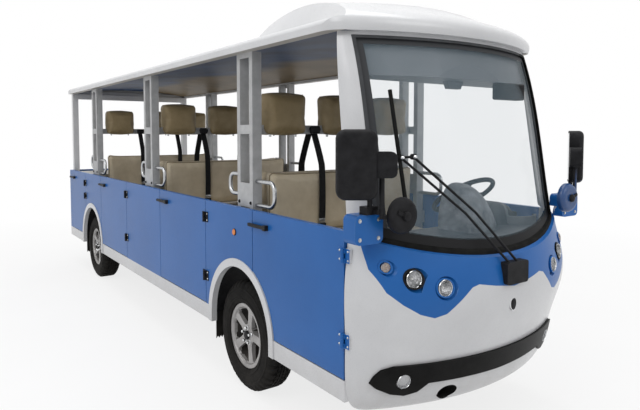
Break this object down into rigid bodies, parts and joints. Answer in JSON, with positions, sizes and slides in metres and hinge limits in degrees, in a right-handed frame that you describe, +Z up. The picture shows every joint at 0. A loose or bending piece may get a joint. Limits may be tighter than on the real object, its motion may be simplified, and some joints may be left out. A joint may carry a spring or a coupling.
{
  "type": "open-sided electric airport passenger bus",
  "caption": "Open-sided electric shuttle bus with half doors, facing bench seats, a full-width windscreen and steered front wheels.",
  "frame": {"origin": "on the ground, under the middle of the bus's box", "axes": "+X forward, +Y to the bus's left, +Z up"},
  "size_m": [5.8, 1.7428, 2.2578],
  "materials": {
    "white_moulding": "glossy white gel coat",
    "blue_paint": "glossy blue",
    "glass": "lightly tinted",
    "ceiling_board": "satin board",
    "grey_plastic": "grained",
    "pillar_paint": "satin grey",
    "tan_leather": "grained",
    "bright_tube": "polished tube",
    "black_webbing": "woven webbing",
    "dark_plastic": "grained",
    "lamp_glass": "clear lens",
    "red_lens": "ribbed lens",
    "black_rubber": "matte",
    "black_steel": "satin black",
    "floor_mat": "ribbed",
    "cast_steel": "rough",
    "tyre": "matte",
    "alloy": "painted silver"
  },
  "bodies": {
    "root": {"armrests": "bright_tube", "battery_pack": "black_steel", "bumper_strip": "dark_plastic", "ceiling": "ceiling_board", "chassis_frame": "black_steel", "dashboard": "dark_plastic", "floor": "floor_mat", "front_axle": "black_steel", "front_body": "white_moulding", "front_cap": "white_moulding", "front_mask": "blue_paint", "headrests": "tan_leather", "lamp_rims": "dark_plastic", "lamps": "lamp_glass", "mirror_pods": "blue_paint", "mirrors": "dark_plastic", "mudflaps": "black_rubber", "overhead_panel": "grey_plastic", "pillars": "pillar_paint", "rear_axle": "black_steel", "rear_deck": "ceiling_board", "rear_frame": "white_moulding", "rear_panel": "blue_paint", "roof_panel": "white_moulding", "roof_rails": "white_moulding", "seat_backs": "tan_leather", "seat_bases": "grey_plastic", "seat_belts": "black_webbing", "seat_cushions": "tan_leather", "side_panels_left": "blue_paint", "side_panels_right": "blue_paint", "sills_and_arches": "white_moulding", "steering_column": "dark_plastic", "tail_lamps": "red_lens", "wheel_wells": "dark_plastic", "windscreen": "glass", "windscreen_seal": "black_rubber", "wiper": "dark_plastic"},
    "wheel_front_left": {"tyre_front_left": "tyre", "rim_front_left": "alloy"},
    "wheel_front_right": {"tyre_front_right": "tyre", "rim_front_right": "alloy"},
    "wheel_rear_left": {"tyre_rear_left": "tyre", "rim_rear_left": "alloy"},
    "wheel_rear_right": {"tyre_rear_right": "tyre", "rim_rear_right": "alloy"},
    "steering_left": {"knuckle_left": "cast_steel"},
    "steering_right": {"knuckle_right": "cast_steel"},
    "steering_wheel": {"steering_wheel": "dark_plastic"},
    "door_front_left": {"door_front_left": "blue_paint"},
    "door_front_right": {"door_front_right": "blue_paint"},
    "door_second_left": {"door_second_left": "blue_paint"},
    "door_second_right": {"door_second_right": "blue_paint"},
    "door_third_left": {"door_third_left": "blue_paint"},
    "door_third_right": {"door_third_right": "blue_paint"},
    "door_rear_left": {"door_rear_left": "blue_paint"},
    "door_rear_right": {"door_rear_right": "blue_paint"}
  },
  "joints": [
    {"name": "steer_left", "type": "hinge", "parent": "root", "child": "steering_left", "pos_m": [1.5, 0.537, 0.325], "axis": [0, 0, 1], "range_deg": [-30, 30]},
    {"name": "steer_right", "type": "hinge", "parent": "root", "child": "steering_right", "pos_m": [1.5, -0.537, 0.325], "axis": [0, 0, 1], "range_deg": [-30, 30]},
    {"name": "steering_wheel_turn", "type": "hinge", "parent": "root", "child": "steering_wheel", "pos_m": [2.17, 0.45, 1.15], "axis": [-0.5592, 0, 0.829], "range_deg": [-360, 360]},
    {"name": "wheel_front_left_spin", "type": "hinge", "parent": "steering_left", "child": "wheel_front_left", "pos_m": [1.5, 0.607, 0.325], "axis": [0, 1, 0], "continuous": true},
    {"name": "wheel_front_right_spin", "type": "hinge", "parent": "steering_right", "child": "wheel_front_right", "pos_m": [1.5, -0.607, 0.325], "axis": [0, 1, 0], "continuous": true},
    {"name": "wheel_rear_left_spin", "type": "hinge", "parent": "root", "child": "wheel_rear_left", "pos_m": [-1.88, 0.607, 0.325], "axis": [0, 1, 0], "continuous": true},
    {"name": "wheel_rear_right_spin", "type": "hinge", "parent": "root", "child": "wheel_rear_right", "pos_m": [-1.88, -0.607, 0.325], "axis": [0, 1, 0], "continuous": true},
    {"name": "door_front_left_swing", "type": "hinge", "parent": "root", "child": "door_front_left", "pos_m": [2.529, 0.742, 0.76], "axis": [0, 0, -1], "range_deg": [0, 80]},
    {"name": "door_front_right_swing", "type": "hinge", "parent": "root", "child": "door_front_right", "pos_m": [2.529, -0.742, 0.76], "axis": [0, 0, 1], "range_deg": [0, 80]},
    {"name": "door_second_left_swing", "type": "hinge", "parent": "root", "child": "door_second_left", "pos_m": [1.043, 0.742, 0.76], "axis": [0, 0, -1], "range_deg": [0, 80]},
    {"name": "door_second_right_swing", "type": "hinge", "parent": "root", "child": "door_second_right", "pos_m": [1.043, -0.742, 0.76], "axis": [0, 0, 1], "range_deg": [0, 80]},
    {"name": "door_third_left_swing", "type": "hinge", "parent": "root", "child": "door_third_left", "pos_m": [-0.657, 0.742, 0.76], "axis": [0, 0, -1], "range_deg": [0, 80]},
    {"name": "door_third_right_swing", "type": "hinge", "parent": "root", "child": "door_third_right", "pos_m": [-0.657, -0.742, 0.76], "axis": [0, 0, 1], "range_deg": [0, 80]},
    {"name": "door_rear_left_swing", "type": "hinge", "parent": "root", "child": "door_rear_left", "pos_m": [-2.13, 0.742, 0.76], "axis": [0, 0, -1], "range_deg": [0, 80]},
    {"name": "door_rear_right_swing", "type": "hinge", "parent": "root", "child": "door_rear_right", "pos_m": [-2.13, -0.742, 0.76], "axis": [0, 0, 1], "range_deg": [0, 80]}
  ],
  "couplings": [
    {"joint": "steer_right", "follows": "steer_left", "ratio": 1},
    {"joint": "steering_wheel_turn", "follows": "steer_left", "ratio": 12}
  ]
}
